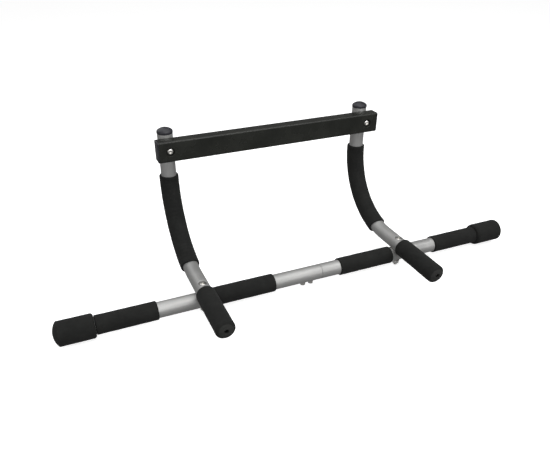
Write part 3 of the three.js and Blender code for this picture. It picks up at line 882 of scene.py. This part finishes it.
THREAD_DEPTH = 0.55 * MM
M8 = {"shank": 3.9 * MM, "pitch": 1.25 * MM, "thread": 22 * MM, "head": 4.2 * MM}
M6 = {"shank": 2.9 * MM, "pitch": 1 * MM, "thread": 8 * MM, "head": 4.8 * MM}
BOLT_SIDES = 48
ROUND_SIDES = 56  # of a washer, and of the round that chamfers a nut
HEAD_EDGE = 0.25 * MM
BUTTON_FLAT = 0.42  # flat middle of a button head, as a share of its radius
BUTTON_DOME = 0.82  # dome of a button head, as a share of its height
HEX_HEAD_CHAMFER = 2.4 * MM
HEX_CORNER_REACH = 0.72  # past a hexagon's corners, as a share of its width across flats
SOCKET_ACROSS_FLATS = 5 * MM
SOCKET_DEPTH = 2.3 * MM
NUT_ACROSS_FLATS = 13 * MM
NUT_COLLAR = 1.6 * MM
NUT_CHAMFER = 1.1 * MM
NUT_CORNER_REACH = 0.62
COLLAR_INSET = 0.7 * MM
COLLAR_ROUND = 0.9 * MM
WASHER_SLACK = 0.05 * MM


def threaded_shank(size, start, end):
    """Profile of a shank from its head down, plain and then cut with thread grooves."""
    crest = size["shank"]
    root = crest - THREAD_DEPTH
    pitch = size["pitch"]
    count = math.floor(size["thread"] / pitch)
    points = [(start, crest)]
    for i in range(count):
        turn = end - (count - i) * pitch
        points += [(turn, crest), (turn + pitch / 2, root)]
    return [*points, (end, root), (end, 0)]


def button_bolt(node, direction):
    """Button-head screw: domed head with a hexagon socket, and thread on the end that shows."""
    along = -Vector(direction)
    length = abs(extent(node).dot(along))
    head_top = middle(node) - along * (length / 2)
    head = extent(node).x / 2
    head_height = M8["head"]
    flat = head * BUTTON_FLAT
    dome = head_height * BUTTON_DOME
    profile = [(0, 0), (0, flat), *arc((dome, flat), (-dome, head - flat), 12, 90, 9)]
    profile += [(head_height - HEAD_EDGE, head), (head_height, head - HEAD_EDGE)]
    profile += threaded_shank(M8, head_height, length)
    bolt = skin(f"{node}_fine", straight_line(head_top, along), profile, BOLT_SIDES)
    socket_outline = hexagon(SOCKET_ACROSS_FLATS, along)
    socket = prism("socket", socket_outline, head_top - along * MM, along * (SOCKET_DEPTH + MM))
    return combine(bolt, [socket])


def hex_bolt(node):
    """Hexagon-head screw pointing up, its head chamfered underneath."""
    low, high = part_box(node)
    across = extent(node).y
    height = M6["head"]
    start = Vector((middle(node).x, middle(node).y, low.z))
    head = prism(f"{node}_fine", hexagon(across, UP), start, height * Vector(UP))
    reach = across * HEX_CORNER_REACH
    cone_end = height * 2
    cone = [(0, 0), (0, across / 2 - HAIR), (HEX_HEAD_CHAMFER, reach), (cone_end, reach), (cone_end, 0)]
    line = straight_line(start, UP)
    combine(head, [skin("cone", line, cone, BOLT_SIDES)], "INTERSECT")
    root = height - MM
    shank = [(root, 0), *threaded_shank(M6, root, high.z - low.z)]
    return combine(head, [skin("shank", line, shank, 32)], "UNION")


def washer(node, direction, bolt_hole):
    along = Vector(direction)
    outer = extent(node).x / 2
    hole = bolt_hole + WASHER_SLACK
    half = abs(extent(node).dot(along)) / 2
    edge = HEAD_EDGE
    profile = [
        (-half, hole),
        (-half, outer - edge),
        (-half + edge, outer),
        (half - edge, outer),
        (half, outer - edge),
        (half, hole),
    ]
    return skin(f"{node}_fine", straight_line(middle(node), along), profile, ROUND_SIDES, closed=True)


def lock_nut(node, direction):
    """Hexagon nut with chamfered corners and a round locking collar at its far end."""
    along = Vector(direction)
    height = abs(extent(node).dot(along))
    start = middle(node) - along * (height / 2)
    flats = height - NUT_COLLAR
    inscribed = NUT_ACROSS_FLATS / 2
    reach = NUT_ACROSS_FLATS * NUT_CORNER_REACH
    collar = inscribed - COLLAR_INSET
    collar_top = height - COLLAR_ROUND
    outline = [
        (-MM, 0),
        (0, inscribed + HAIR),
        (NUT_CHAMFER, reach),
        (flats - NUT_CHAMFER, reach),
        (flats, inscribed + HAIR),
        (flats, collar),
        *arc((collar_top, collar - COLLAR_ROUND), (COLLAR_ROUND, COLLAR_ROUND), 90, 0, 4),
        (height, 0),
    ]
    nut = prism(f"{node}_fine", hexagon(NUT_ACROSS_FLATS, along), start, along * height)
    combine(nut, [skin("outline", straight_line(start, along), outline, ROUND_SIDES)], "INTERSECT")
    hole = drill(M8_HOLE - HAIR, start - along * MM, start + along * (height + MM))
    return combine(nut, [hole])


# ---------------------------------------------------------------- assembly

stand_in(main_tube_left(), "silver_paint", "main_tube_left")
stand_in(main_tube_right(), "silver_paint", "main_tube_right")
stand_in(cross_bar(), "black_paint", "cross_bar")

for number, (side, sign) in enumerate(SIDE_SIGNS.items()):
    seed = 10.0 * number
    padded = {
        f"inner_grip_{side}": bar_grip(f"inner_grip_{side}", seed + 1),
        f"outer_grip_{side}": bar_grip(f"outer_grip_{side}", seed + 2),
        f"end_pad_{side}": end_pad(side, sign, seed + 3),
        f"handle_grip_{side}": handle_grip(side, sign, seed + 4),
        f"arm_sleeve_{side}": arm_sleeve(side, sign, seed + 5),
    }
    for node, piece in padded.items():
        stand_in(piece, "foam", node)
    stand_in(arm_tube(side, sign), "silver_paint", f"arm_tube_{side}")
    stand_in(top_cap(side), "black_plastic", f"top_cap_{side}")
    stand_in(cross_bar_end_cap(side, sign), "black_plastic", f"cross_bar_end_cap_{side}")
    fasteners = {
        f"arm_bolt_{side}": button_bolt(f"arm_bolt_{side}", UP),
        f"arm_washer_{side}": washer(f"arm_washer_{side}", DOWN, M8_HOLE),
        f"arm_nut_{side}": lock_nut(f"arm_nut_{side}", DOWN),
        f"cross_bar_bolt_{side}": button_bolt(f"cross_bar_bolt_{side}", TOWARDS),
        f"cross_bar_washer_{side}": washer(f"cross_bar_washer_{side}", AWAY, M8_HOLE),
        f"cross_bar_nut_{side}": lock_nut(f"cross_bar_nut_{side}", AWAY),
        f"joint_bolt_{side}": hex_bolt(f"joint_bolt_{side}"),
        f"joint_washer_{side}": washer(f"joint_washer_{side}", DOWN, M6_HOLE),
    }
    for node, piece in fasteners.items():
        stand_in(piece, "zinc_steel", node)
    hidden = {
        f"main_tube_plug_{side}": "black_plastic",
        f"handle_plug_{side}": "black_plastic",
        f"joint_nut_{side}": "zinc_steel",
    }
    for node, slot in hidden.items():
        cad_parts[node].data.materials.clear()
        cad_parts[node].data.materials.append(FINISHES[slot])

# ---------------------------------------------------------------- floor, light and camera


FLOOR_REACH = 14.0
FLOOR_DROP = 0.5 * MM
FLOOR_GLOW = 0.74


def make_floor():
    """A plain white floor that neither lights the bar nor shows in its paint."""
    low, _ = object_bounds()
    corners = [(-1, -1), (1, -1), (1, 1), (-1, 1)]
    bm = bmesh.new()
    floor_z = low.z - FLOOR_DROP
    bm.faces.new([bm.verts.new((x * FLOOR_REACH, y * FLOOR_REACH, floor_z)) for x, y in corners])
    floor = finished_mesh("floor", bm)
    material = bpy.data.materials.new("pale_floor")
    material.use_nodes = True
    shader = material.node_tree.nodes["Principled BSDF"]
    shader.inputs["Base Color"].default_value = (0.9, 0.9, 0.9, 1)
    shader.inputs["Roughness"].default_value = 1.0
    shader.inputs["Specular IOR Level"].default_value = 0.0
    shader.inputs["Emission Color"].default_value = (1, 1, 1, 1)
    shader.inputs["Emission Strength"].default_value = FLOOR_GLOW
    floor.data.materials.append(material)
    floor.visible_diffuse = False
    floor.visible_glossy = False


# Brightness of the studio dome from straight down (0) to straight up (1). It is darkest at the height
# that the cross bar's flat top mirrors.
DOME_STOPS = ((0.0, 0.22), (0.45, 0.24), (0.6, 0.18), (0.8, 0.07), (1.0, 0.50))


def make_world():
    """A soft studio dome, dim all round and bright overhead."""
    world = bpy.data.worlds.new("studio")
    world.use_nodes = True
    tree = world.node_tree
    place = tree.nodes.new("ShaderNodeTexCoord")
    split = tree.nodes.new("ShaderNodeSeparateXYZ")
    ramp = tree.nodes.new("ShaderNodeValToRGB")
    spread = tree.nodes.new("ShaderNodeMapRange")
    spread.inputs["From Min"].default_value = -1
    background = tree.nodes["Background"]
    tree.links.new(place.outputs["Generated"], split.inputs["Vector"])
    tree.links.new(split.outputs["Z"], spread.inputs["Value"])
    tree.links.new(spread.outputs["Result"], ramp.inputs["Fac"])
    tree.links.new(ramp.outputs["Color"], background.inputs["Color"])
    elements = ramp.color_ramp.elements
    while len(elements) < len(DOME_STOPS):
        elements.new(0.5)
    for element, (position, value) in zip(elements, DOME_STOPS):
        element.position = position
        element.color = (value, value, value, 1)
    bpy.context.scene.world = world


def make_area_light(name, place, target, size, watts):
    """A soft rectangle of light that faces its target."""
    data = bpy.data.lights.new(name, "AREA")
    data.shape = "RECTANGLE"
    data.size, data.size_y = size
    data.energy = watts
    light = bpy.data.objects.new(name, data)
    light.location = place
    light.rotation_mode = "QUATERNION"
    light.rotation_quaternion = (Vector(target) - Vector(place)).to_track_quat("-Z", "Y")
    bpy.context.scene.collection.objects.link(light)


CAMERA_AZIMUTH = math.radians(-22.731)
CAMERA_ELEVATION = math.radians(31.90)
CAMERA_DISTANCE = 1.0313
CAMERA_LENS = 36.16
CAMERA_SENSOR = 36
CAMERA_SHIFT = (0.01951, 0.05328)
CAMERA_AIM = Vector((-0.0903, BAR_Y, BAR_Z + 0.0686))


def make_camera():
    data = bpy.data.cameras.new("camera")
    data.lens = CAMERA_LENS
    data.sensor_width = CAMERA_SENSOR
    data.shift_x, data.shift_y = CAMERA_SHIFT
    data.clip_start = 10 * MM
    camera = bpy.data.objects.new("camera", data)
    level = math.cos(CAMERA_ELEVATION)
    back_x = math.sin(CAMERA_AZIMUTH) * level
    back_y = -math.cos(CAMERA_AZIMUTH) * level
    back = Vector((back_x, back_y, math.sin(CAMERA_ELEVATION)))
    camera.location = CAMERA_AIM + back * CAMERA_DISTANCE
    camera.rotation_mode = "QUATERNION"
    camera.rotation_quaternion = (-back).to_track_quat("-Z", "Y")
    bpy.context.scene.collection.objects.link(camera)
    bpy.context.scene.camera = camera


make_floor()
make_world()
make_area_light("overhead", (0.1, -0.1, 1.5), (0, -0.1, -0.2), (2.4, 1.4), 12)
make_area_light("left_fill", (-1.8, -0.8, 0.5), (0, 0, -0.05), (1.2, 1.0), 6)
make_area_light("front_fill", (0.4, -2.2, 0.75), (0.2, -0.2, -0.15), (3.8, 0.9), 26)
make_area_light("back_left", (-0.7, 1.35, 1.1), (0, 0, 0), (1.5, 1.2), 6)
bar_low, bar_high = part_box("cross_bar")
bar_edge = Vector((0, bar_low.y, bar_high.z))
GLINT_WAY = Vector((0.33, -0.53, 0.78))  # where the bar's rounded top edge mirrors a light
GLINT_DISTANCE = 1.7
glint = bar_edge + GLINT_DISTANCE * GLINT_WAY
make_area_light("bar_edge", glint, bar_edge, (2.6, 0.32), 12)
make_camera()
bpy.context.scene.view_settings.view_transform = "Standard"
